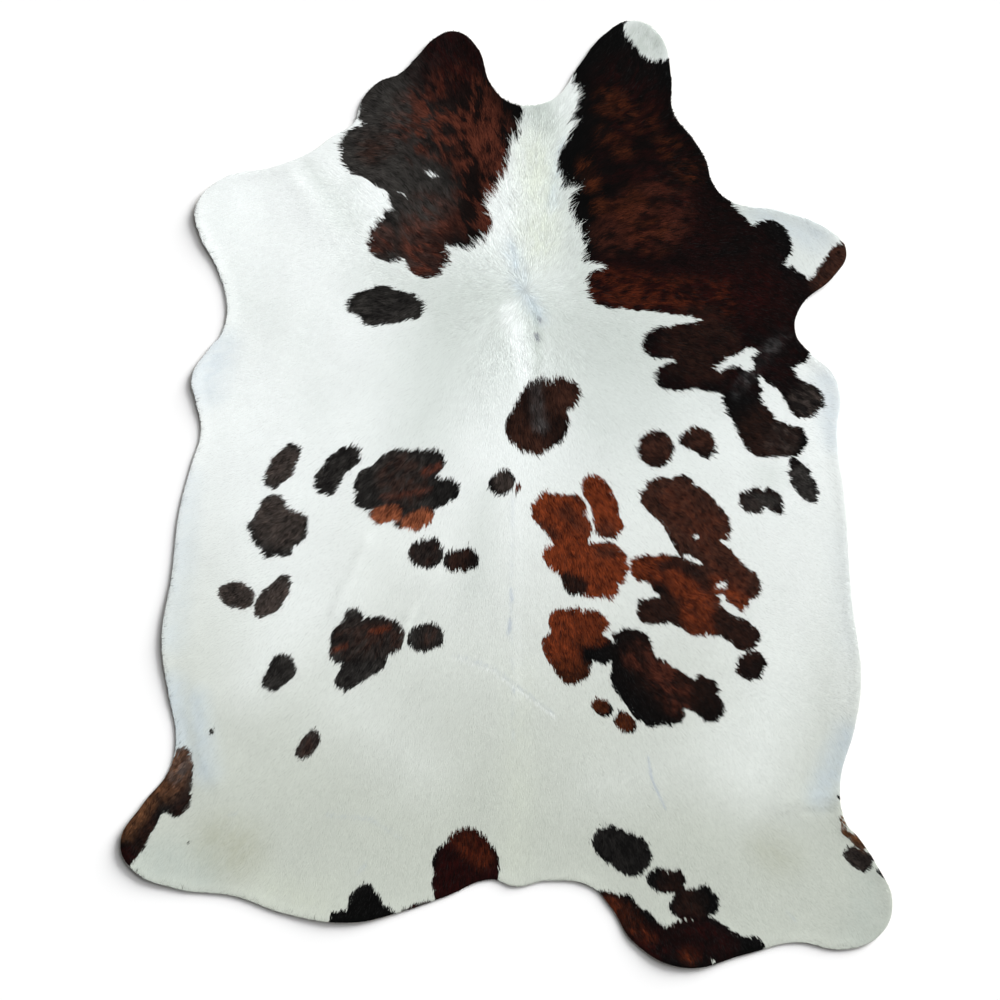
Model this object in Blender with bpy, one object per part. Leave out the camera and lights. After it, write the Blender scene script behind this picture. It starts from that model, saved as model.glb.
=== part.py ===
"""A cowhide rug: one whole hide, cut to its natural outline and lying flat with the hair side up.

Metres, +Z up. The neck points to +Y, the tail to -Y, and the origin is on the floor under the middle of the hide.
"""

from collections import namedtuple

import bmesh
import bpy
import numpy as np
from mathutils.geometry import delaunay_2d_cdt

# Driving sizes
LENGTH = 2.20  # ear tip to rump
SKIN = 0.0022  # the tanned skin alone
COAT = 0.0033  # short body hair, as it lies
CUT_COAT = 0.0010  # what stands of it on the cut edge
COAT_RISE = 0.030  # from the cut edge to full coat
CURL = 0.0045  # how far the cut edge turns up off the floor, all round
CURL_REACH = 0.034  # and how far in from it the skin starts to turn up

# The spacing of the surface's points
EDGE_STEP = 0.014  # along the cut edge
INNER_STEP = 0.042  # over the flat of the hide
CREST_STEP = 0.032  # along a buckle or a crest
CREST_ROWS = (-0.6, 0.0, 0.6)  # rows of points across it, as shares of its half width
RING_INSET = 0.024  # from the cut edge to the ring of points inside it
ROOM = 0.6  # the nearest that a point may lie to one already placed, as a share of its own step

# The outline, clockwise round the hide as it is seen from above. Places are pixels of the photograph,
# across to the right and down, and LENGTH gives them their real size.
Landmark = namedtuple("Landmark", "name photo_x photo_y")
OUTLINE = (
    Landmark("neck notch", 532, 106),
    Landmark("neck notch, right", 557, 97),
    Landmark("right ear, inner side", 577, 69),
    Landmark("right ear, inner shoulder", 604, 35),
    Landmark("right ear tip", 633, 21),
    Landmark("right ear, outer shoulder", 660, 36),
    Landmark("right ear, outer side", 671, 77),
    Landmark("right cheek dip", 673, 112),
    Landmark("right cheek", 695, 142),
    Landmark("right cheek, back", 706, 161),
    Landmark("right neck", 712, 182),
    Landmark("right neck dip", 728, 200),
    Landmark("right shoulder", 782, 211),
    Landmark("right elbow, front", 826, 228),
    Landmark("right elbow tip", 846, 252),
    Landmark("right elbow, back", 833, 277),
    Landmark("right armpit, front", 801, 306),
    Landmark("right armpit", 795, 332),
    Landmark("right armpit, back", 812, 355),
    Landmark("right brisket, front", 833, 374),
    Landmark("right brisket", 840, 398),
    Landmark("right waist", 837, 430),
    Landmark("right belly, front", 845, 502),
    Landmark("right belly", 852, 600),
    Landmark("right belly bulge", 861, 679),
    Landmark("right belly, back", 855, 725),
    Landmark("right flank dip", 840, 785),
    Landmark("right hind leg", 846, 823),
    Landmark("right hind leg, spur", 858, 837),
    Landmark("right hind leg, outer side", 876, 864),
    Landmark("right hind foot", 892, 903),
    Landmark("right hind foot, corner", 879, 935),
    Landmark("right hind foot, inner side", 845, 949),
    Landmark("right thigh", 795, 942),
    Landmark("right rump, outer side", 745, 954),
    Landmark("right rump", 684, 967),
    Landmark("right rump, corner", 634, 942),
    Landmark("right rump, inner side", 611, 907),
    Landmark("right of the tail", 592, 887),
    Landmark("tail dip, right", 550, 880),
    Landmark("tail", 515, 886),
    Landmark("tail dip, left", 492, 879),
    Landmark("left of the tail", 446, 896),
    Landmark("left rump, inner side", 396, 913),
    Landmark("left rump", 352, 922),
    Landmark("left rump, outer side", 284, 913),
    Landmark("left thigh", 235, 896),
    Landmark("left hind leg, inner side", 175, 888),
    Landmark("left hind foot, corner", 133, 869),
    Landmark("left hind foot", 121, 843),
    Landmark("left hind leg", 143, 804),
    Landmark("left flank, back", 170, 769),
    Landmark("left flank dip", 176, 738),
    Landmark("left belly, back", 168, 690),
    Landmark("left belly bulge", 162, 640),
    Landmark("left belly", 172, 574),
    Landmark("left belly, front", 179, 513),
    Landmark("left waist, back", 191, 466),
    Landmark("left waist", 201, 431),
    Landmark("left brisket, back", 196, 401),
    Landmark("left brisket", 192, 378),
    Landmark("left armpit, back", 209, 349),
    Landmark("left armpit, lower side", 222, 333),
    Landmark("left armpit", 227, 305),
    Landmark("left armpit, front", 217, 268),
    Landmark("left elbow, back", 201, 237),
    Landmark("left elbow tip", 196, 208),
    Landmark("left elbow, front", 224, 178),
    Landmark("left shoulder", 273, 167),
    Landmark("left neck", 313, 151),
    Landmark("left neck, front", 332, 137),
    Landmark("left cheek dip", 354, 123),
    Landmark("left cheek", 363, 99),
    Landmark("left cheek, front", 381, 81),
    Landmark("left ear dip", 398, 75),
    Landmark("left ear, outer side", 420, 54),
    Landmark("left ear, outer shoulder", 433, 40),
    Landmark("left ear tip", 456, 32),
    Landmark("left ear, inner shoulder", 478, 49),
    Landmark("left ear, inner side", 490, 83),
    Landmark("neck notch, left", 508, 102),
)

# Where the skin buckles up off the floor in a long soft ridge
Buckle = namedtuple("Buckle", "name from_x from_y to_x to_y height half_width")
BUCKLES = (
    Buckle("left shoulder", 292, 180, 332, 232, 0.0035, 0.045),
    Buckle("right armpit", 790, 322, 724, 402, 0.0045, 0.040),
    Buckle("left flank, front", 374, 548, 344, 612, 0.0025, 0.040),
    Buckle("left flank, back", 426, 578, 402, 628, 0.0025, 0.036),
    Buckle("right flank", 786, 806, 850, 796, 0.0035, 0.036),
    Buckle("left flank edge", 198, 690, 214, 776, 0.0030, 0.034),
)

# Where the edge of the hide stands further off the floor
Lift = namedtuple("Lift", "name photo_x photo_y height reach")
LIFTS = (
    Lift("left ear", 452, 26, 0.0060, 0.170),
    Lift("right ear", 640, 14, 0.0050, 0.160),
    Lift("left elbow", 188, 208, 0.0070, 0.200),
    Lift("right elbow", 856, 250, 0.0045, 0.150),
    Lift("left brisket", 180, 382, 0.0055, 0.140),
    Lift("left belly", 150, 640, 0.0060, 0.210),
    Lift("right belly", 874, 690, 0.0045, 0.180),
    Lift("left hind foot", 112, 850, 0.0080, 0.230),
    Lift("left rump", 346, 936, 0.0060, 0.190),
    Lift("right rump", 678, 982, 0.0070, 0.210),
    Lift("right hind foot", 900, 916, 0.0055, 0.190),
)

# Where the hair is longer and the coat stands higher, along a line
Crest = namedtuple("Crest", "name from_x from_y to_x to_y height half_width")
CRESTS = (
    Crest("mane", 545, 120, 527, 275, 0.0034, 0.120),
    Crest("withers", 523, 282, 517, 398, 0.0028, 0.040),
    Crest("back", 532, 384, 512, 560, 0.0014, 0.045),
    Crest("loin", 511, 560, 508, 860, 0.0010, 0.045),
)


INSIDE_ONLY = 1  # the triangulation keeps what lies inside the cut edge
SAME_POINT = 1e-6  # and joins points nearer than this


def smooth_bump(share):
    """1 at share 0, falling smoothly to exactly 0 at share 1 and past it."""
    return np.clip(1 - share**2, 0, None) ** 2


def curve_through(landmarks):
    """Points along one smooth closed curve through the landmarks, in pixels with up as +Y."""
    curve = bpy.data.curves.new("outline", "CURVE")
    curve.resolution_u = 16
    spline = curve.splines.new("BEZIER")
    spline.bezier_points.add(len(landmarks) - 1)
    spline.use_cyclic_u = True
    for point, mark in zip(spline.bezier_points, landmarks):
        point.co = (mark.photo_x, -mark.photo_y, 0)
        point.handle_left_type = point.handle_right_type = "AUTO"
    guide = bpy.data.objects.new("outline", curve)
    bpy.context.scene.collection.objects.link(guide)
    bpy.context.view_layer.update()
    points = np.array([v.co[:2] for v in guide.to_mesh().vertices])
    guide.to_mesh_clear()
    bpy.data.objects.remove(guide)
    return points


def evenly_spaced(loop, step):
    """The closed loop again, with its points about step apart."""
    closed = np.vstack([loop, loop[:1]])
    along = np.concatenate([[0], np.cumsum(np.linalg.norm(np.diff(closed, axis=0), axis=1))])
    count = round(along[-1] / step)
    places = np.linspace(0, along[-1], count, endpoint=False)
    return np.column_stack([np.interp(places, along, closed[:, i]) for i in range(2)])


def inset(loop, by):
    """The clockwise loop moved inwards."""
    ahead = np.roll(loop, -1, axis=0) - np.roll(loop, 1, axis=0)
    ahead /= np.linalg.norm(ahead, axis=1, keepdims=True)
    return loop + by * np.column_stack([ahead[:, 1], -ahead[:, 0]])


def along_line(points, start, end):
    """Each point's distance from the straight line that joins two places."""
    reach = end - start
    share = np.clip((points - start) @ reach / (reach @ reach), 0, 1)
    return np.linalg.norm(points - start - share[:, None] * reach, axis=1)


class Hide:
    """The hide's outline in metres, and its heights at any places."""

    def __init__(self):
        drawn = curve_through(OUTLINE)
        low, high = drawn.min(axis=0), drawn.max(axis=0)
        self.middle = (low + high) / 2
        self.metres_per_pixel = LENGTH / (high - low)[1]
        self.edge = evenly_spaced((drawn - self.middle) * self.metres_per_pixel, EDGE_STEP)

    def place(self, photo_x, photo_y):
        """A pixel of the photograph, in metres on the floor."""
        return (np.array([photo_x, -photo_y]) - self.middle) * self.metres_per_pixel

    def ends(self, row):
        return self.place(row.from_x, row.from_y), self.place(row.to_x, row.to_y)

    def from_edge(self, points):
        """Each point's distance to the nearest point of the cut edge."""
        return np.array([np.linalg.norm(self.edge - p, axis=1).min() for p in points])

    def holds(self, points):
        """Whether each point lies inside the cut edge: a line to its right crosses the edge an odd number of times."""
        a, b = self.edge, np.roll(self.edge, -1, axis=0)
        x, y = points[:, :1], points[:, 1:]
        spans = (a[:, 1] > y) != (b[:, 1] > y)
        rise = np.where(a[:, 1] == b[:, 1], 1, b[:, 1] - a[:, 1])
        crossing = a[:, 0] + (y - a[:, 1]) / rise * (b[:, 0] - a[:, 0])
        return (spans & (x < crossing)).sum(axis=1) % 2 == 1

    def underside(self, points):
        """How far the skin is off the floor."""
        height = CURL * np.clip(1 - self.from_edge(points) / CURL_REACH, 0, 1) ** 2
        for row in BUCKLES:
            height += row.height * smooth_bump(along_line(points, *self.ends(row)) / row.half_width)
        for row in LIFTS:
            away = np.linalg.norm(points - self.place(row.photo_x, row.photo_y), axis=1)
            height += row.height * smooth_bump(away / row.reach)
        return height

    def thickness(self, points):
        """Skin and coat together."""
        full = np.clip(self.from_edge(points) / COAT_RISE, 0, 1)
        full = full * (2 - full)
        coat = CUT_COAT + (COAT - CUT_COAT) * full
        for row in CRESTS:
            coat += full * row.height * smooth_bump(along_line(points, *self.ends(row)) / row.half_width)
        return SKIN + coat

    def crest_points(self):
        """Rows of points on each buckle and narrow crest, which keep its top and its slopes."""
        rows = []
        for row in (*BUCKLES, *CRESTS):
            start, end = self.ends(row)
            reach = end - start
            steps = max(2, round(np.linalg.norm(reach) / CREST_STEP))
            side = np.array([-reach[1], reach[0]]) / np.linalg.norm(reach)
            line = start + np.linspace(0, 1, steps + 1)[:, None] * reach
            rows += [line + side * share * row.half_width for share in CREST_ROWS]
        return np.vstack(rows)

    def inner_points(self):
        """Points inside the hide: a ring inside the cut edge, the crests, and an even lattice for the rest."""
        ring = inset(self.edge, RING_INSET)[::2]
        crests = self.crest_points()
        half = np.abs(self.edge).max(axis=0) + INNER_STEP
        rows = np.arange(-half[1], half[1], INNER_STEP * np.sqrt(3) / 2)
        lattice = [
            (x + (i % 2) * INNER_STEP / 2, y)
            for i, y in enumerate(rows)
            for x in np.arange(-half[0], half[0], INNER_STEP)
        ]
        kept = list(ring[self.holds(ring)])
        for points, step in ((crests, CREST_STEP), (np.array(lattice), INNER_STEP)):
            points = points[self.holds(points)]
            points = points[self.from_edge(points) > COAT_RISE]
            for point in points:
                if np.linalg.norm(np.array(kept) - point, axis=1).min() > ROOM * step:
                    kept.append(point)
        return np.array(kept)


def hide_mesh(hide):
    """The closed solid: the underside on the floor, the coat above it, and the cut edge round both."""
    inner = hide.inner_points()
    flat = [tuple(point) for point in (*hide.edge, *inner)]
    count = len(hide.edge)
    rim = [(i, (i + 1) % count) for i in range(count)]
    places, _, faces, *_ = delaunay_2d_cdt(flat, rim, [], INSIDE_ONLY, SAME_POINT)
    low = hide.underside(np.array([tuple(place) for place in places]))

    shape = bmesh.new()
    under = [shape.verts.new((*place, z)) for place, z in zip(places, low)]
    for face in faces:
        shape.faces.new([under[i] for i in face])
    made = bmesh.ops.extrude_face_region(shape, geom=shape.faces[:])
    raised = [item for item in made["geom"] if isinstance(item, bmesh.types.BMVert)]
    for vert, coat in zip(raised, hide.thickness(np.array([v.co[:2] for v in raised]))):
        vert.co.z += coat
    bmesh.ops.recalc_face_normals(shape, faces=shape.faces[:])
    mesh = bpy.data.meshes.new("hide")
    shape.to_mesh(mesh)
    shape.free()
    mesh.shade_smooth()
    mesh.set_sharp_from_angle(angle=np.radians(50))
    return mesh


def coat_material():
    material = bpy.data.materials.new("coat")
    material.use_nodes = True
    shader = material.node_tree.nodes["Principled BSDF"]
    shader.inputs["Base Color"].default_value = (0.79, 0.82, 0.78, 1)
    shader.inputs["Roughness"].default_value = 0.7
    shader.inputs["Metallic"].default_value = 0.0
    return material


def main():
    for old in list(bpy.data.objects):
        bpy.data.objects.remove(old)
    mesh = hide_mesh(Hide())
    mesh.materials.append(coat_material())
    bpy.context.scene.collection.objects.link(bpy.data.objects.new("hide", mesh))


main()
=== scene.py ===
"""How the cowhide rug looks: its short coat with the patches and the lie of the hair, on its skin.

Metres, +Z up, as in the CAD model. The hide lies with its neck to +Y. Places on it are read off the
photograph, in pixels across to the right and down, and `Photo` turns them into metres on the floor.
"""

from collections import namedtuple

import bpy
import numpy as np
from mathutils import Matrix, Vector
from mathutils.bvhtree import BVHTree
from mathutils.geometry import delaunay_2d_cdt
from mathutils.kdtree import KDTree


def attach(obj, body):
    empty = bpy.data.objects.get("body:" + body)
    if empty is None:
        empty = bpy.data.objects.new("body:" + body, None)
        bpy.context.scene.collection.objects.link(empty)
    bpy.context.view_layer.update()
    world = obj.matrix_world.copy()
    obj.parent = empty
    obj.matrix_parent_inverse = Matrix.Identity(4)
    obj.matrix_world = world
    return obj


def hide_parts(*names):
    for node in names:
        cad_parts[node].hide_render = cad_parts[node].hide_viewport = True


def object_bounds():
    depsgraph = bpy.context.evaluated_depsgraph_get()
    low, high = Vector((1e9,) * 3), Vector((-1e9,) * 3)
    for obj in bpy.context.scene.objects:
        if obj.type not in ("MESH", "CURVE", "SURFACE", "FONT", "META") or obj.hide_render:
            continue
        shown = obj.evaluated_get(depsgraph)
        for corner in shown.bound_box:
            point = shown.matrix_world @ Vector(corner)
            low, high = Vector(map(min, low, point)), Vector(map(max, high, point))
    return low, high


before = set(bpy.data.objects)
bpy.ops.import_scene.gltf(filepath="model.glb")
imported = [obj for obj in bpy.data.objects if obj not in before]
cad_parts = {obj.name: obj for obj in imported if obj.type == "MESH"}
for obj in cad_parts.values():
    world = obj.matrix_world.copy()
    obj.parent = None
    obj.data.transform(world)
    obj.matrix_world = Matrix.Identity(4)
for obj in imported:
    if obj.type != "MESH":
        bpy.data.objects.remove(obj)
cad_box = [list(corner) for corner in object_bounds()]


def table(columns, *rows):
    """Rows of values with named columns."""
    row = namedtuple("Row", columns)
    return [row(*values) for values in rows]


# The hide in the photograph, in pixels
HIDE_MIDDLE = (506.5, 494.3)
HIDE_HEIGHT = 946.5
PHOTO_SIZE = 1000

# The skin, in metres
SKIN = 0.0022  # its thickness, without the hair
LEAST_SKIN = 0.0012  # and at least, where a crease thins it
LATTICE = 0.0115  # between the points of its surface
EDGE_STEP = 0.0070  # between points along its cut edge
GRID_STEP = 0.0060  # of the grids that hold its heights
EVENED = 0.009  # how far the solid's heights are smoothed
WAVES = 0.0010  # how far the whole hide is uneven

# The coat
LOCKS = 350_000  # short locks of hair in all
LAYERS = 5  # pieces that share them, each over the whole hide
LOCK_WIDTH = 0.0022
LOCK_WIDTHS = (0.75, 1.3)  # the narrowest and widest against that
STRANDS = 45_000  # long curved strands over the neck and along the spine
STRAND_WIDTH = 0.0013
STRAND_WIDTHS = (0.6, 1.3)
STRANDS_FROM = 0.019  # they begin where the hair is this long
STRANDS_OVER = 0.012  # and are densest where it is longer by this
SHORT_HAIR = 0.016  # hair up to this long lies close
LONG_HAIR = 0.036  # and hair this long is loose and fluffy
LENGTHS = (0.78, 1.22)  # the shortest and longest lock against the length of the hair there
SCATTER = 0.48  # how far a root lies from its place in even rows, against the step between them
EDGE_ROOM = 0.0008  # between the cut edge and the nearest roots
OVERHANG = 0.0005  # how far a lock's tip may pass the cut edge
CUTS, SHORTER = 5, 0.72  # one that passes it further is cut back up to 5 times, each time to this share
SWIRL = 0.5  # how far neighbouring locks turn together, in radians
SETTLED = 0.25  # how much lower some locks lie
COLOUR_REACH = 0.16  # how far along itself a lock may take its colour from
SOFT_SLOPE = 0.345  # how much of the skin's slope the coat, which scatters light, shows

# What grows from short to fluffy hair: its value on the short, and what is added on the fluffy
STRAY = (0.09, 0.14)  # how far single locks turn, in radians
CLUMP_SHADES = (0.02, 0.10)  # how far the clumps of white hair differ in shade
LOCK_SHADES = (0.010, 0.07)  # and how far single locks do
# TIP_SHADE scales the painted shade along a white lock, which is darker at its root
TIP_SHADE = (0.25, 0.75)  # how much of the shade along a white lock shows
ROUND = (0.135, 0.32)  # how far the sides of a lock face outwards
FULL = (0.9, 0.25)  # how wide a short lock is against LOCK_WIDTH

# The patches and tints
RAGGED = 2.4  # how far the edge of a patch wanders, in pixels
CLOUDS = (0.985, 0.03)  # the least shade of the white, and what its soft clouds add to it
BLACK_STREAKS = (0.7, 0.6)  # the same for the black and its streaks
# painted shade: the skin among the roots is darker than the hair over it
PAINTED_ROOT_SHADE = (0.6, 0.9)  # of the skin, where it is under dark and under white hair
TUFT = 0.19  # how far the tufts at the edge of a patch reach over it, against the length of the hair
COAT_TURN = (380, 860)  # between these pixels down, the white turns from the front's to the back's
BRINDLE = ((13, 0.40), (4.5, 0.60))  # the streaks in a tint: their size in pixels and their share
BRINDLE_CONTRAST = 2.9
DARK_SHADES = (0.9, 0.36)  # how far dark clumps, and single dark locks, differ in shade
COMBED = 0.014  # how much more white ones differ at the rump
COMBED_TURN = (400, 800)  # and between which pixels down that grows
SHADES = (0.25, 2.2)  # the darkest and lightest a lock can be, against the colour there
LIE_REACH = 14  # pixels round a place in LIES where its own lie rules
LIE_FALL = 1.6  # and how soon the lie of others takes over, as a power of the squared distance

# The light, and so the step from the colours that the photograph shows to those of the hair itself
LIGHT = 1.13
GLOSS = 0.004
DARKEST = 0.0008
WORLD_LIGHT = 0.10
FLOOR_SIZE, FLOOR_GREY = 30, 0.94
FLOOR_DROP = 0.0004  # keeps it clear of the hide's underside
LAMPS = table(
    "name strength size round above",  # its size and place in degrees, round from +X and above the floor
    ("key", 6.54, 36.0, 42.0, 18.0),
    ("fill", 1.60, 50.0, 42.0, 45.0),
)

# Colours as the photograph shows them
COAT_FRONT = (240, 244, 243)  # white hair at the shoulders
# the rump's white is creamier, and darker partly as painted shade
COAT_BACK = (199, 204, 195)  # and at the rump
COAT_LIT = (250, 253, 255)  # and where it lies brightest
BLACK = (15, 12, 9)
DARK_BROWN = (34, 17, 9)
BROWN = (58, 37, 30)
RED_BROWN = (92, 48, 36)
NECK_BROWN = (70, 36, 23)
RUST = (104, 48, 28)
ORANGE = (130, 74, 50)
LEG_BROWN = (98, 66, 46)
GREY_BROWN = (68, 60, 56)
BROWN_BLACK = (40, 27, 23)
GREY_BLACK = (54, 52, 50)
SHEEN = (92, 92, 92)
SHADE = (190, 199, 192)
BLUISH = (198, 211, 221)
BLUE_GREY = (168, 180, 198)
TAN = (178, 180, 160)
CREAM = (222, 228, 210)
GREY = (140, 144, 150)
SUEDE = (196, 186, 168)

# How the hair lies at places on the hide: the way its tips point, across and down the photograph, and how
# long it is
LIES = table(
    "name x y across down length",
    ("crown of the neck", 535, 112, 0.25, -1.0, 0.03),
    ("mane, front left", 512, 150, -0.4, -0.92, 0.038),
    ("mane, front", 532, 160, 0.05, -1.0, 0.04),
    ("mane, front right", 556, 145, 0.65, -0.76, 0.038),
    ("mane, left", 500, 215, -0.6, -0.8, 0.038),
    ("mane", 528, 225, 0.05, -1.0, 0.042),
    ("mane, right", 566, 212, 0.72, -0.7, 0.038),
    ("whorl, front left", 508, 258, -0.45, -0.9, 0.032),
    ("whorl, front", 532, 266, 0.05, -1.0, 0.036),
    ("whorl, front right", 556, 262, 0.55, -0.84, 0.03),
    ("whorl, left", 500, 285, -1.0, 0.0, 0.022),
    ("whorl, left side, back", 504, 306, -0.7, 0.72, 0.03),
    ("whorl, back", 520, 314, -0.12, 1.0, 0.036),
    ("whorl, right", 546, 294, 0.9, -0.3, 0.02),
    ("whorl, right side, back", 550, 320, 0.5, 0.86, 0.016),
    ("left of the whorl", 450, 300, -0.95, 0.15, 0.017),
    ("right of the whorl", 590, 310, 0.95, 0.2, 0.016),
    ("left neck, middle", 470, 190, -0.55, -0.85, 0.028),
    ("left neck, outer side", 415, 195, -0.55, -0.8, 0.024),
    ("left neck", 430, 130, -0.75, -0.6, 0.024),
    ("left ear", 450, 60, -0.45, -0.9, 0.018),
    ("left cheek", 375, 145, -1.0, 0.05, 0.018),
    ("left neck, back", 420, 250, -0.85, -0.45, 0.024),
    ("right neck, front", 610, 120, 0.85, -0.35, 0.024),
    ("right neck", 600, 200, 0.95, -0.25, 0.028),
    ("right neck, back", 620, 275, 1.0, -0.05, 0.024),
    ("right ear", 640, 60, 0.35, -0.9, 0.016),
    ("right neck, outer side", 690, 190, 0.95, 0.15, 0.02),
    ("left shoulder", 250, 210, -0.95, 0.2, 0.012),
    ("left shoulder, back", 330, 300, -0.9, 0.35, 0.015),
    ("left ribs", 420, 350, -0.75, 0.6, 0.015),
    ("right shoulder", 720, 280, 0.97, 0.15, 0.018),
    ("right elbow", 820, 250, 0.7, 0.6, 0.012),
    ("right ribs, front", 620, 360, 0.85, 0.5, 0.015),
    ("right armpit", 780, 380, 0.85, 0.55, 0.014),
    ("withers", 517, 350, 0.0, 1.0, 0.034),
    ("withers, back", 514, 395, 0.0, 1.0, 0.021),
    ("back, front", 512, 460, 0.02, 1.0, 0.018),
    ("back", 512, 600, 0.0, 1.0, 0.016),
    ("loin", 508, 740, 0.02, 1.0, 0.016),
    ("tail", 500, 860, 0.0, 1.0, 0.018),
    ("back, left side", 470, 470, -0.5, 0.85, 0.016),
    ("back, right side", 560, 470, 0.5, 0.85, 0.016),
    ("loin, left side", 450, 700, -0.35, 0.93, 0.015),
    ("loin, right side", 570, 700, 0.4, 0.92, 0.015),
    ("left flank", 350, 500, -0.8, 0.6, 0.015),
    ("left belly, front", 230, 430, -0.95, 0.3, 0.012),
    ("left belly", 200, 600, -0.92, 0.4, 0.01),
    ("left flank, back", 320, 660, -0.65, 0.75, 0.015),
    ("left thigh", 250, 800, -0.5, 0.86, 0.013),
    ("left hind leg", 160, 820, -0.55, 0.8, 0.012),
    ("left rump", 370, 870, -0.25, 0.96, 0.014),
    ("right flank", 660, 500, 0.75, 0.65, 0.015),
    ("right belly, front", 800, 470, 0.85, 0.5, 0.012),
    ("right belly", 825, 620, 0.92, 0.4, 0.01),
    ("right flank, back", 680, 660, 0.72, 0.7, 0.015),
    ("right thigh", 760, 810, 0.6, 0.8, 0.013),
    ("right hind leg", 850, 890, 0.65, 0.75, 0.012),
    ("right rump", 650, 880, 0.45, 0.9, 0.014),
)

# Small folds in the skin, which the solid leaves out: soft ridges, or troughs where the height is below 0
CREASES = table(
    "from_x from_y to_x to_y height half_width",
    (286, 166, 330, 222, 0.0004, 0.012),
    (304, 164, 340, 214, -0.0006, 0.014),
    (370, 532, 330, 618, 0.0024, 0.014),
    (442, 570, 402, 622, 0.0026, 0.014),
    (430, 592, 408, 628, -0.0014, 0.01),
    (792, 800, 846, 794, 0.0014, 0.014),
    (800, 812, 850, 810, -0.0012, 0.01),
    (782, 334, 736, 390, 0.0016, 0.016),
    (450, 652, 494, 667, 0.0005, 0.006),
    (494, 667, 556, 713, 0.0005, 0.006),
    (186, 700, 206, 772, 0.0014, 0.018),
)

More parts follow.
